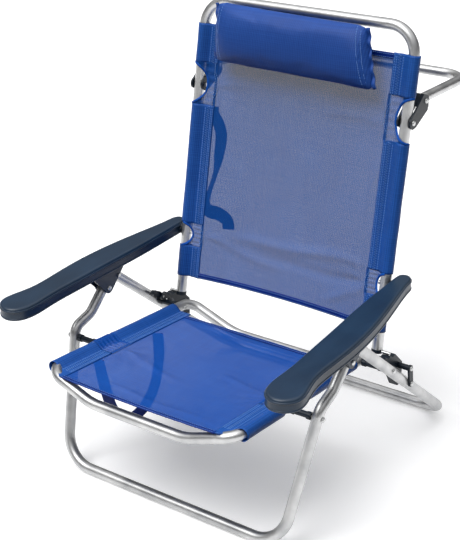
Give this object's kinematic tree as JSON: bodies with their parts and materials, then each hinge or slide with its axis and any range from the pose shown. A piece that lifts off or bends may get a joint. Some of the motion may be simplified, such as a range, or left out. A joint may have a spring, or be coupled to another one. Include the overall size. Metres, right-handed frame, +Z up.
{
  "type": "folding beach chair",
  "caption": "Low folding beach chair: aluminium tube frames, stretched mesh seat and back with padded headrest, moulded armrests, recline racks and a swinging rear handle.",
  "frame": {"origin": "on the floor, at the middle of the chair's overall width and depth at rest", "axes": "+X to the sitter's left as seen from the front (image right), -Y the way the sitter faces, +Z up"},
  "size_m": [0.6292, 0.7515, 0.8091],
  "materials": {
    "tube": "satin anodised",
    "back_mesh": "open woven mesh",
    "seat_mesh": "open woven mesh",
    "sleeve_cloth": "dense weave",
    "pillow_cloth": "satin mesh",
    "webbing": "ribbed webbing",
    "arm_plastic": "fine grained",
    "fastener": "zinc plated",
    "fitting_plastic": "moulded"
  },
  "bodies": {
    "rear_leg": {"rear_leg_frame": "tube", "recline_rack_left": "fitting_plastic", "recline_rack_right": "fitting_plastic", "rack_strap_left": "fitting_plastic", "rack_strap_right": "fitting_plastic", "rack_foot_bolts": "fastener", "rack_top_bolts": "fastener", "rack_collars": "fitting_plastic", "lever_pins": "fastener", "seat_rear_bolts": "fastener", "seat_rear_spacers": "fitting_plastic"},
    "seat": {"seat_frame": "tube", "seat_sleeve_left": "sleeve_cloth", "seat_sleeve_right": "sleeve_cloth", "seat_panel": "seat_mesh", "seat_strap": "webbing", "seat_front_bolts": "fastener", "seat_front_spacers": "fitting_plastic"},
    "front_leg": {"front_leg_frame": "tube"},
    "armrests": {"armrest_left": "arm_plastic", "armrest_right": "arm_plastic", "rear_leg_bolts": "fastener", "front_leg_rivets": "fastener", "armrest_bolts": "fastener", "armrest_washers": "fitting_plastic"},
    "backrest": {"backrest_frame": "tube", "backrest_sleeve_left": "sleeve_cloth", "backrest_sleeve_right": "sleeve_cloth", "backrest_panel": "back_mesh", "backrest_end_plugs": "fitting_plastic", "rack_pins": "fastener", "plug_screws": "fastener", "headrest_pillow": "pillow_cloth", "headrest_flap": "sleeve_cloth", "backrest_strap": "webbing", "handle_bracket_left": "fitting_plastic", "handle_bracket_right": "fitting_plastic", "bracket_rivets": "fastener", "handle_rivets": "fastener"},
    "handle": {"handle_loop": "tube"},
    "lever_left": {"release_lever_left": "fitting_plastic"},
    "lever_right": {"release_lever_right": "fitting_plastic"}
  },
  "joints": [
    {"name": "armrest_lift", "type": "hinge", "parent": "rear_leg", "child": "armrests", "pos_m": [0, -0.107, 0.317], "axis": [1, 0, 0], "range_deg": [0, 35]},
    {"name": "seat_turn", "type": "hinge", "parent": "rear_leg", "child": "seat", "pos_m": [0, 0.016, 0.21355], "axis": [1, 0, 0], "range_deg": [-2.4, 0.2]},
    {"name": "front_leg_turn", "type": "hinge", "parent": "seat", "child": "front_leg", "pos_m": [0, -0.22382, 0.23374], "axis": [1, 0, 0], "range_deg": [-11.5, 0.2]},
    {"name": "backrest_recline", "type": "hinge", "parent": "armrests", "child": "backrest", "pos_m": [0, 0.0718, 0.35129], "axis": [1, 0, 0], "range_deg": [-20, 45]},
    {"name": "handle_swing", "type": "hinge", "parent": "backrest", "child": "handle", "pos_m": [0, 0.174, 0.668], "axis": [1, 0, 0], "range_deg": [-95, 50]},
    {"name": "lever_left_press", "type": "hinge", "parent": "rear_leg", "child": "lever_left", "pos_m": [0, 0.007, 0.22972], "axis": [1, 0, 0], "range_deg": [0, 20]},
    {"name": "lever_right_press", "type": "hinge", "parent": "rear_leg", "child": "lever_right", "pos_m": [0, 0.007, 0.22972], "axis": [1, 0, 0], "range_deg": [0, 20]}
  ],
  "couplings": [
    {"joint": "seat_turn", "follows": "armrest_lift", "ratio": -0.0645},
    {"joint": "front_leg_turn", "follows": "armrest_lift", "ratio": -0.3213}
  ]
}
